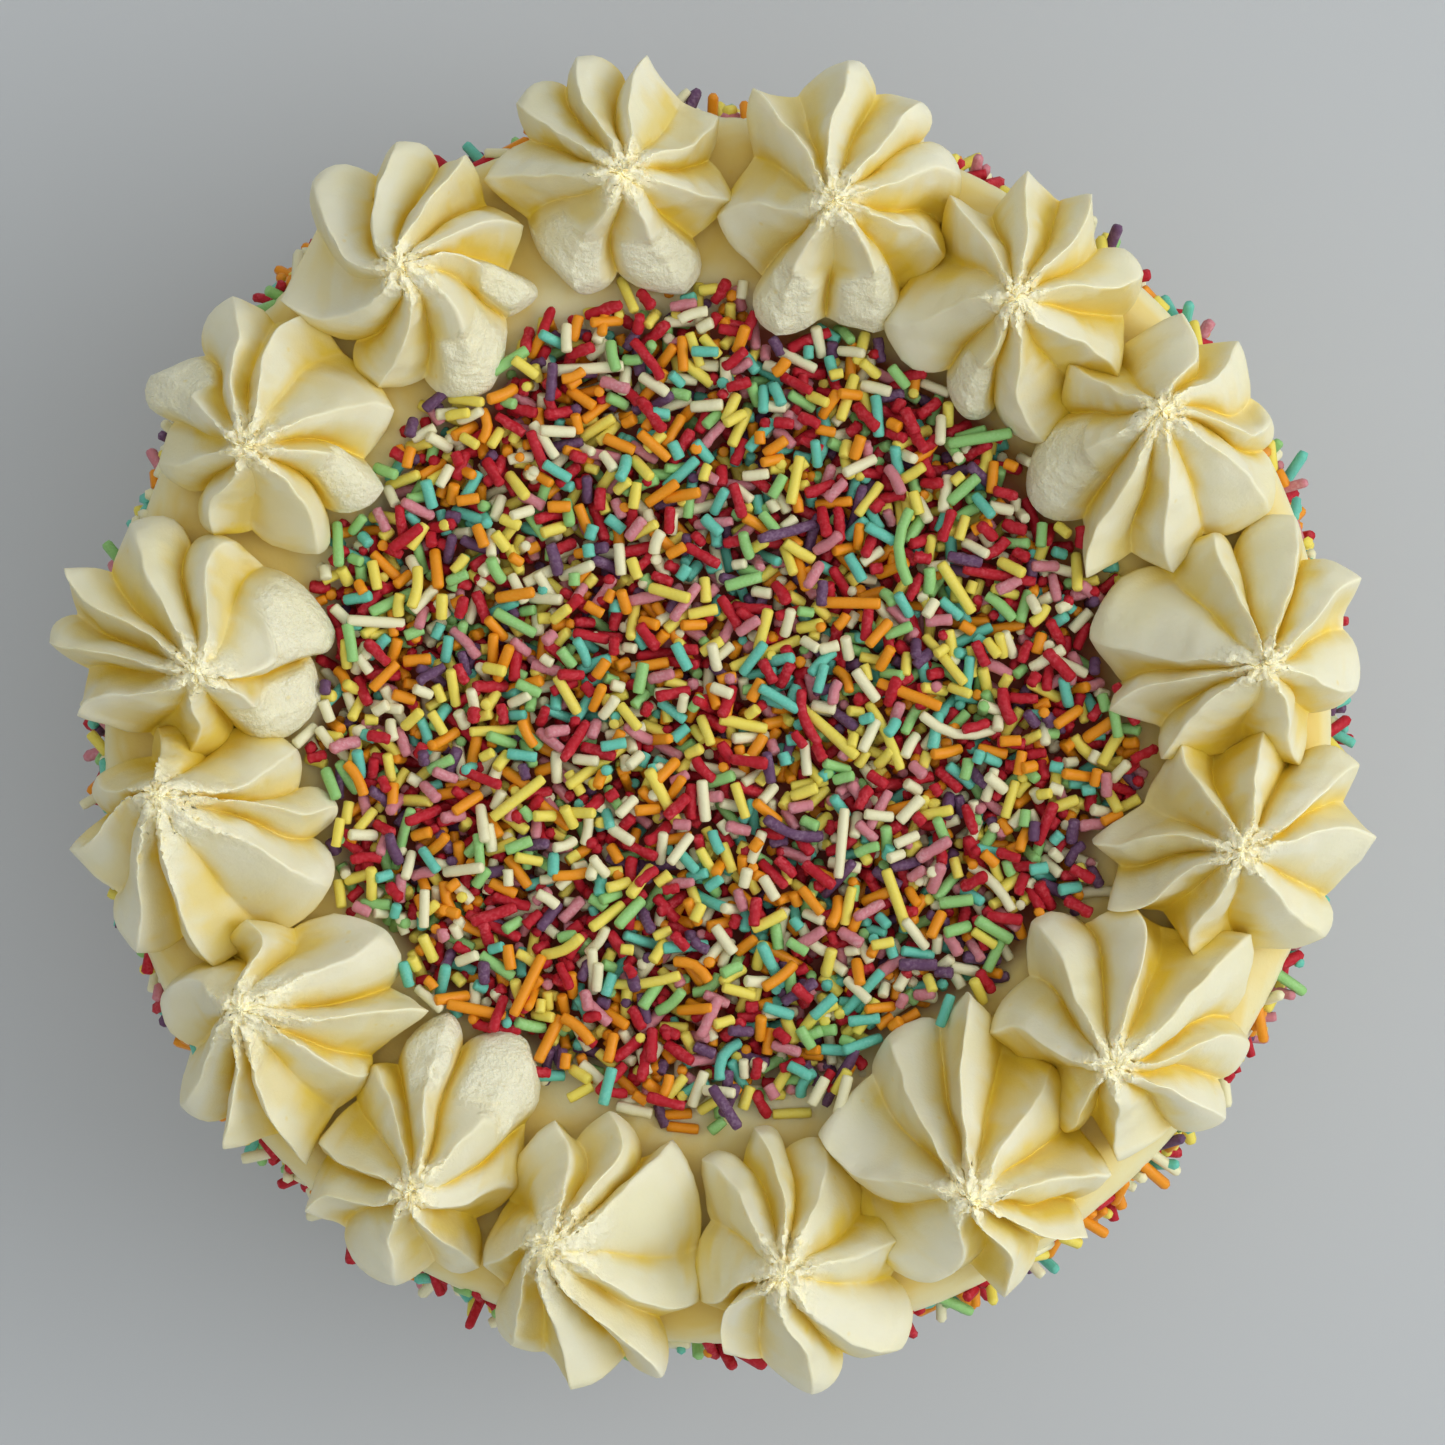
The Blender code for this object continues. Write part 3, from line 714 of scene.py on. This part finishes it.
strandKinds = {
    "red": {"share": 0.215, "colour": (0.45, 0.006, 0.018), "dust": (0.66, 0.08, 0.10), "knobbly": 1.0},
    "yellow": {"share": 0.155, "colour": (0.8, 0.67, 0.1), "dust": (0.86, 0.77, 0.26), "knobbly": 0.15},
    "cream": {"share": 0.155, "colour": (0.79, 0.75, 0.48), "dust": (0.85, 0.82, 0.60), "knobbly": 0.2},
    "orange": {"share": 0.16, "colour": (0.8, 0.28, 0.008), "dust": (0.86, 0.41, 0.04), "knobbly": 0.15},
    "teal": {"share": 0.100, "colour": (0.13, 0.52, 0.40), "dust": (0.30, 0.68, 0.55), "knobbly": 0.3},
    "green": {"share": 0.080, "colour": (0.28, 0.56, 0.18), "dust": (0.45, 0.7, 0.34), "knobbly": 0.25},
    "pink": {"share": 0.070, "colour": (0.58, 0.20, 0.23), "dust": (0.74, 0.42, 0.44), "knobbly": 0.7},
    "purple": {"share": 0.055, "colour": (0.12, 0.05, 0.115), "dust": (0.3, 0.19, 0.28), "knobbly": 0.8},
}

strandShape = {
    "radius": 0.74 * mm,
    "shortest": 1.7 * mm,
    "usual": 3.4 * mm,
    "spread": 1.15 * mm,
    "longShare": 0.03,
    "longest": 10.0 * mm,
    "girthRange": (0.92, 1.08),
    "topSides": 8,
    "wallSides": 6,
    "tries": 4,
    "wallTries": 4,
    "topCount": 6600,
    "wallCount": 5800,
    "bedReach": 62.0 * mm,
    "edgeShare": 0.25,          # how many lie at the very edge of the bed
    "edgeFade": 0.08,
    "bedSink": 0.3,             # of a strand's radius
    "wallSink": 0.8,
    "standing": 0.42,           # share of the strands that stand on end in the bed
    "standDepth": 0.6 * mm,     # they stand only where the bed has filled up to this
    "bentShare": 0.25,
    "cell": 0.25 * mm,
    "leastSeen": 6,             # cells; a strand that shows less is buried and left out
    "rimBand": 14.0 * mm,       # below the rim, where more strands stand out of the wall
    "rimWave": 2.5 * mm,
    "rimWaveLength": 9.0 * mm,
    "clusterLength": 13.0 * mm,
    "wallLoose": 0.07,          # share that stand out of the icing
    "rimLoose": (0.27, 0.48),   # the same under the rim, and how many more in a cluster
    "seed": 7,
}


def sugarMaterial(name, kind):
    rough = kind["knobbly"]
    values = {"Colour": (*kind["colour"], 1.0), "Dust Colour": (*kind["dust"], 1.0),
              "Dust": 0.38 + 0.55 * rough, "Grain Size": 2600.0 - 900.0 * rough}
    material, _, shader = groupMaterial(name, sugarGroup, values, 0.3 + 0.65 * rough, 0.14 * mm)
    shader.inputs["Roughness"].default_value = 0.42 + 0.2 * rough
    shader.inputs["Specular IOR Level"].default_value = 0.3
    return material


# Strands that lie by themselves beyond the edge of the bed: millimetres across and up the photo,
# bearing in degrees, length in millimetres and kind.
strays = (
    (1.1, -49.3, -57, 6.5, "purple"), (-7.3, -50.8, -70, 3.2, "purple"),
    (-4.5, -52.4, -6, 4.2, "orange"), (-5.1, -50.6, 4, 3.6, "orange"),
    (-10.9, -49.9, -12, 4.8, "cream"), (9.9, -50.5, 3, 5.1, "yellow"),
    (16.5, -47.7, 75, 5.2, "cream"), (13.3, -47.3, 62, 4.0, "cream"), (3.9, -48.3, 70, 3.2, "yellow"),
    (-23.1, -44.9, -6, 2.6, "red"), (-14.3, -46.6, 76, 5.0, "teal"), (-17.9, -47.5, 28, 3.6, "yellow"),
    (-6.7, -48.6, -14, 5.1, "red"), (0.0, -52.1, 40, 2.4, "green"), (29.9, -36.7, 70, 4.4, "teal"),
    (53.6, 3.4, 118, 6.0, "red"), (52.2, 1.2, 100, 4.4, "green"), (-55.2, 2.6, 38, 3.4, "red"),
    (-57.5, -0.3, 20, 2.2, "purple"), (-49.6, -13.4, 80, 3.8, "yellow"), (-31.6, 50.2, 78, 3.6, "teal"),
)


# How high the strands have piled up over a flat or an unrolled surface, and which lies on top
class HeightField:
    def __init__(self, lowX, lowY, width, depth, wraps=False):
        self.low = (lowX, lowY)
        self.cell = strandShape["cell"]
        self.wraps = wraps
        self.heights = np.zeros((int(depth / self.cell) + 1, int(width / self.cell) + 1))
        self.owner = np.full(self.heights.shape, -1)

    def index(self, x, y):
        column = ((x - self.low[0]) / self.cell).astype(int)
        row = ((y - self.low[1]) / self.cell).astype(int)
        rows, columns = self.heights.shape
        column = column % columns if self.wraps else np.clip(column, 0, columns - 1)
        return np.clip(row, 0, rows - 1), column

    def under(self, x, y):
        return self.heights[self.index(x, y)]

    # Lifts the cells under a rod that runs through the points of its path
    def raiseAlong(self, path, reach, number):
        steps = np.arange(-reach, reach + self.cell, self.cell)
        offX, offY = np.meshgrid(steps, steps)
        dome = reach ** 2 - offX ** 2 - offY ** 2
        inside = dome > 0.0
        offX, offY, dome = offX[inside], offY[inside], np.sqrt(dome[inside])
        fine = np.linspace(0.0, len(path) - 1.0, 4 * len(path))
        x, y, z = (np.interp(fine, np.arange(len(path)), path[:, axis]) for axis in range(3))
        rows, columns = self.index((x[:, None] + offX).ravel(), (y[:, None] + offY).ravel())
        tops = (z[:, None] + dome).ravel()
        higher = tops > self.heights[rows, columns]
        rows, columns, tops = rows[higher], columns[higher], tops[higher]
        np.maximum.at(self.heights, (rows, columns), tops)
        self.owner[rows, columns] = number

    # Which of the strands still show in enough cells from straight above
    def shows(self, count):
        seen = np.bincount(self.owner[self.owner >= 0], minlength=count)
        return seen >= strandShape["leastSeen"]


def strandLength(chance):
    if chance.random() < strandShape["longShare"]:
        return chance.uniform(7.0 * mm, strandShape["longest"])
    length = chance.normal(strandShape["usual"], strandShape["spread"])
    return float(np.clip(length, strandShape["shortest"], 7.5 * mm))


# Rests one strand on what lies there and returns seven points along its middle
def tryStrand(field, x, y, chance, standing, sink):
    length = strandLength(chance)
    radius = strandShape["radius"]
    bearing = chance.uniform(0.0, 2.0 * math.pi)
    share = np.linspace(-0.5, 0.5, 7)
    bend = 0.0
    if chance.random() < strandShape["bentShare"]:
        bend = chance.normal(0.0, 0.055) * length * (length / strandShape["usual"])
    tilt = math.radians(chance.uniform(50.0, 90.0)) if standing else 0.0
    flat = length * math.cos(tilt)
    ahead = np.array([math.cos(bearing), math.sin(bearing)])
    left = np.array([-ahead[1], ahead[0]])
    bow = bend * (1.0 - 4.0 * share ** 2)
    pointX = x + share * flat * ahead[0] + bow * left[0]
    pointY = y + share * flat * ahead[1] + bow * left[1]
    if standing:
        top = field.under(pointX[-1:], pointY[-1:])[0] + chance.uniform(0.0, 1.0) * mm
        pointZ = top - (0.5 - share) * length * math.sin(tilt)
        return np.stack([pointX, pointY, pointZ], -1)
    ground = np.maximum.reduce([field.under(pointX + side * 0.6 * radius * left[0],
                                            pointY + side * 0.6 * radius * left[1])
                                for side in (-1.0, 0.0, 1.0)])
    lowEnd, highEnd = ground[:3].max(), ground[4:].max()
    slope = np.clip((highEnd - lowEnd) / (0.7 * flat), -0.55, 0.55)
    line = slope * share * flat
    lift = np.sort(ground - line)[-3]          # rests on its highest places, and sinks in a little
    return np.stack([pointX, pointY, line + lift + radius * (1.0 - sink)], -1)


# Lays a strand at the spot and turn of a few where it comes to lie lowest
def layStrand(field, spots, chance, standing, sink, number):
    tries = [tryStrand(field, x, y, chance, standing, sink) for x, y in spots]
    path = min(tries, key=lambda points: points[3, 2])
    if standing:
        lowered = path[-2:] - np.array([0.0, 0.0, 0.7 * strandShape["radius"]])
        field.raiseAlong(lowered, strandShape["radius"], number)
    else:
        field.raiseAlong(path, strandShape["radius"], number)
    return path


# Marks where the stars stand, so that no strand runs through them
def starFootprints(field):
    taken = np.zeros(field.heights.shape, bool)
    for piece in starPieces:
        rings = vertexArray(piece, "co")[:-2].reshape(starShape["levels"], -1, 3)
        for ring in rings[3:]:
            for part in (0.0, 0.5):
                spots = ring * (1.0 - part) + np.roll(ring, -1, 0) * part
                taken[field.index(spots[:, 0], spots[:, 1])] = True
    return taken


def bedStrands(chance):
    reach = strandShape["bedReach"]
    field = HeightField(-reach, -reach, 2.0 * reach, 2.0 * reach)
    taken = starFootprints(field)
    centreX, centreY = bodyShape["bedCentre"]
    cells = np.indices(field.heights.shape) * field.cell - reach
    field.heights -= bedDip(cells[1], cells[0])
    paths, spots = [], []
    while len(paths) < strandShape["topCount"]:
        bearing = chance.uniform(0.0, 2.0 * math.pi)
        edge = np.interp(math.degrees(bearing), bedBearings, bedDistances) * mm
        distance = edge * math.sqrt(chance.random())
        inside = 1.0 - distance / edge
        if chance.random() > strandShape["edgeShare"] + inside / strandShape["edgeFade"]:
            continue
        x = centreX + distance * math.cos(bearing)
        y = centreY + distance * math.sin(bearing)
        if taken[field.index(np.array([x]), np.array([y]))][0]:
            continue
        spots.append((x, y))
        if len(spots) < strandShape["tries"]:
            continue
        ground = max(field.under(np.array([x]), np.array([y]))[0] for x, y in spots)
        standing = chance.random() < strandShape["standing"] and ground > -strandShape["standDepth"]
        paths.append(layStrand(field, spots, chance, standing, strandShape["bedSink"], len(paths)))
        spots = []
    paths = np.array(paths)
    clear = ~taken[field.index(paths[..., 0], paths[..., 1])].any(1)
    paths = paths[clear & field.shows(len(paths))]
    loose, kinds = [], []
    for x, y, bearing, length, kind in strays:
        ahead = compass(np.array(math.radians(bearing)))
        along = np.linspace(-0.5, 0.5, 7)[:, None] * length * mm * ahead
        path = np.array([x * mm, y * mm, 0.0]) + along
        path[:, 2] = field.under(path[:, 0], path[:, 1]).max() + 0.7 * strandShape["radius"]
        loose.append(path)
        kinds.append(kindNames.index(kind))
    paths = np.concatenate([paths, np.array(loose)])
    paths[..., 2] += bodyShape["height"]
    return paths, kinds


# Strands pressed into the wall, worked out on the unrolled wall: along it, up it and out of it
def wallStrands(chance):
    shape = strandShape
    around = 2.0 * math.pi * bodyShape["radius"]
    top = bodyShape["height"] - bodyShape["edge"]
    field = HeightField(0.0, 0.0, around, bodyShape["height"], wraps=True)
    paths = []
    for number in range(shape["wallCount"]):
        spots = []
        for _ in range(shape["wallTries"]):
            x = chance.uniform(0.0, around)
            wave = noise.noise(Vector((x / shape["rimWaveLength"], 0.0, 5.0)))
            rim = top + shape["rimWave"] * wave + 0.8 * mm
            spots.append((x, chance.uniform(1.5 * mm, rim)))
        path = layStrand(field, spots, chance, False, shape["wallSink"], number)
        x, y = path[3, :2]
        looseness = shape["wallLoose"]
        if y > top - shape["rimBand"]:              # in clusters under the rim
            cluster = noise.noise(Vector((x / shape["clusterLength"], 2.0, 9.0)))
            least, more = shape["rimLoose"]
            looseness = least + more * float(smoothStep(-0.05, 0.25, cluster))
        if chance.random() < looseness:             # these stand out of the icing
            path[:, 2] += np.linspace(-0.5, 1.0, 7) * mm * chance.uniform(1.2, 3.4)
        paths.append(path)
    flat = np.array(paths)[field.shows(len(paths))]
    flat[..., 1] = np.clip(flat[..., 1], shape["radius"], bodyShape["height"] - 2.0 * mm)
    bearing = flat[..., 0] / bodyShape["radius"]
    lean = np.maximum(0.0, flat[..., 1] - top)
    radius = wallRadius(bearing, np.minimum(flat[..., 1], top)) + flat[..., 2] - 0.35 * lean
    world = compass(bearing) * radius[..., None]
    world[..., 2] = flat[..., 1]
    return world


# Rings of points round each path, with blunt, slightly rounded ends
def strandPoints(paths, stations, girth, sides, knobbly, chance):
    stations, girth = np.array(stations), np.array(girth)
    known = np.linspace(0.0, 1.0, paths.shape[1])
    at = np.searchsorted(known, stations, side="right").clip(1, len(known) - 1)
    share = ((stations - known[at - 1]) / (known[at] - known[at - 1]))[None, :, None]
    middle = paths[:, at - 1] * (1.0 - share) + paths[:, at] * share
    ahead = np.gradient(middle, axis=1)
    ahead /= np.linalg.norm(ahead, axis=2, keepdims=True)
    steep = np.abs(ahead[:, :1, 2:]) > 0.8
    upright = np.where(steep, np.array([1.0, 0.0, 0.0]), np.array([0.0, 0.0, 1.0]))
    across = np.cross(ahead, np.broadcast_to(upright, ahead.shape))
    across /= np.linalg.norm(across, axis=2, keepdims=True)
    over = np.cross(across, ahead)
    turn = 2.0 * math.pi * np.arange(sides) / sides
    count = len(paths)
    size = strandShape["radius"] * chance.uniform(*strandShape["girthRange"], (count, 1, 1))
    size = size * girth[None, :, None]
    lumps = 1.0 + chance.normal(0.0, 0.02 + 0.08 * knobbly, (count, len(stations), sides))
    size = size * np.clip(lumps, 0.8, 1.2)
    spokes = (across[:, :, None, :] * np.cos(turn)[None, None, :, None]
              + over[:, :, None, :] * np.sin(turn)[None, None, :, None])
    rings = middle[:, :, None, :] + spokes * size[..., None]
    ends = middle[:, [0, -1]] + ahead[:, [0, -1]] * np.array([-0.06, 0.06])[None, :, None] * mm
    return np.concatenate([rings.reshape(count, -1, 3), ends], axis=1)


def strandFaces(rows, sides, count, start):
    single = ringFaces(rows, sides)
    total = rows * sides + 2
    return [tuple(corner + start + number * total for corner in face)
            for number in range(count) for face in single]


# Places of the rings along a strand and their girth; closer rings carry the lumps of a knobbly one
strandRings = {
    "knobbly": ((0.0, 0.06, 0.24, 0.41, 0.59, 0.76, 0.94, 1.0),
                (0.76, 0.97, 1.0, 1.0, 1.0, 1.0, 0.97, 0.76)),
    "smooth": ((0.0, 0.04, 0.25, 0.5, 0.75, 0.96, 1.0),
               (0.80, 0.98, 1.0, 1.0, 1.0, 0.98, 0.80)),
    "wall": ((0.0, 0.08, 0.92, 1.0), (0.78, 1.0, 1.0, 0.78)),
}


def makeStrands(name, kind, topPaths, wallPaths, chance):
    stations, girth = strandRings["knobbly" if kind["knobbly"] > 0.5 else "smooth"]
    wallStations, wallGirth = strandRings["wall"]
    topSides, wallSides = strandShape["topSides"], strandShape["wallSides"]
    onTop = strandPoints(topPaths, stations, girth, topSides, kind["knobbly"], chance)
    onWall = strandPoints(wallPaths, wallStations, wallGirth, wallSides, kind["knobbly"], chance)
    faces = strandFaces(len(stations), topSides, len(topPaths), 0)
    faces += strandFaces(len(wallStations), wallSides, len(wallPaths), onTop.shape[0] * onTop.shape[1])
    points = np.vstack([onTop.reshape(-1, 3), onWall.reshape(-1, 3)])
    piece = meshFromArrays(f"strands_{name}", points, faces, sugarMaterial(f"sugar_{name}", kind))
    standFor(piece, "buttercream", "frosted_cake")
    return piece


strandChance = np.random.default_rng(strandShape["seed"])
kindNames = list(strandKinds)
topPaths, strayKinds = bedStrands(strandChance)
wallPaths = wallStrands(strandChance)
kindShares = np.array([strandKinds[name]["share"] for name in kindNames])
kindShares /= kindShares.sum()
topKinds = strandChance.choice(len(kindNames), len(topPaths), p=kindShares)
topKinds[-len(strayKinds):] = strayKinds
wallKinds = strandChance.choice(len(kindNames), len(wallPaths), p=kindShares)
strandPieces = [makeStrands(name, strandKinds[name], topPaths[topKinds == number],
                            wallPaths[wallKinds == number], strandChance)
                for number, name in enumerate(kindNames)]
print("strands laid:", len(topPaths), "on top,", len(wallPaths), "round the side")
print("most triangles in a piece:", max(sum(len(face.vertices) - 2 for face in piece.data.polygons)
                                        for piece in strandPieces))


# Floor, light and camera

floorLook = {"colour": (0.5125, 0.5325, 0.5425), "size": 6.0}


def makeFloor():
    half = floorLook["size"] / 2.0
    corners = np.array([[-half, -half, 0.0], [half, -half, 0.0], [half, half, 0.0], [-half, half, 0.0]])
    material = bpy.data.materials.new("paleFloor")
    material.use_nodes = True
    shader = material.node_tree.nodes["Principled BSDF"]
    shader.inputs["Base Color"].default_value = (*floorLook["colour"], 1.0)
    shader.inputs["Roughness"].default_value = 0.7
    shader.inputs["Specular IOR Level"].default_value = 0.2
    floor = meshFromArrays("floor", corners, [(0, 1, 2, 3)], material)


lighting = {
    "keyBearing": 3.0,          # from the right
    "keyElevation": 36.0,
    "keyDistance": 1.3,
    "keySize": 1.0,
    "keyPower": 6.9,
    "skyBright": (0.94, 0.97, 1.0),     # towards the key
    "skyDim": (0.38, 0.385, 0.38),      # away from it
    "skyRange": (-0.6, 0.9),            # from dim to bright, by the cosine from the key
    "skyStrength": 0.96,
}


def makeLight():
    bearing = math.radians(lighting["keyBearing"])
    climb = math.radians(lighting["keyElevation"])
    flat = math.cos(climb)
    toward = Vector((math.cos(bearing) * flat, math.sin(bearing) * flat, math.sin(climb)))
    lamp = bpy.data.lights.new("softWindow", "AREA")
    lamp.shape = "DISK"
    lamp.size = lighting["keySize"]
    lamp.energy = lighting["keyPower"]
    window = bpy.data.objects.new("softWindow", lamp)
    window.location = toward * lighting["keyDistance"] + Vector((0.0, 0.0, 0.05))
    window.rotation_euler = toward.to_track_quat("Z", "Y").to_euler()
    window.visible_camera = False
    bpy.context.scene.collection.objects.link(window)
    world = bpy.data.worlds.new("paleRoom")
    bpy.context.scene.world = world
    world.use_nodes = True
    tree = world.node_tree
    sky = tree.nodes["Background"]
    # a room that is brighter on the side of its window
    where = addNode(tree, "ShaderNodeTexCoord").outputs["Generated"]
    facing = addNode(tree, "ShaderNodeVectorMath", {0: where, 1: toward}, operation="DOT_PRODUCT")
    share = remap(tree, facing.outputs["Value"], *lighting["skyRange"])
    tone = blend(tree, share, (*lighting["skyDim"], 1.0), (*lighting["skyBright"], 1.0))
    tree.links.new(tone, sky.inputs["Color"])
    sky.inputs["Strength"].default_value = lighting["skyStrength"]


cameraSetup = {
    "over": (0.73 * mm, 1.0 * mm),      # the point of the cake under the lens
    "aboveTop": 700.0 * mm,
    "widthAtPetals": 189.7 * mm,        # what the picture spans just above the cake's top
    "petalLevel": 3.0 * mm,
}


def makeCamera():
    lens = bpy.data.cameras.new("overhead")
    camera = bpy.data.objects.new("overhead", lens)
    x, y = cameraSetup["over"]
    camera.location = (x, y, bodyShape["height"] + cameraSetup["aboveTop"])
    distance = cameraSetup["aboveTop"] - cameraSetup["petalLevel"]
    lens.lens = lens.sensor_width * distance / cameraSetup["widthAtPetals"]
    lens.clip_start, lens.clip_end = 0.05, 20.0
    bpy.context.scene.collection.objects.link(camera)
    bpy.context.scene.camera = camera


makeFloor()
makeLight()
makeCamera()
bpy.context.scene.view_settings.view_transform = "Standard"
print("floor, light and camera placed")
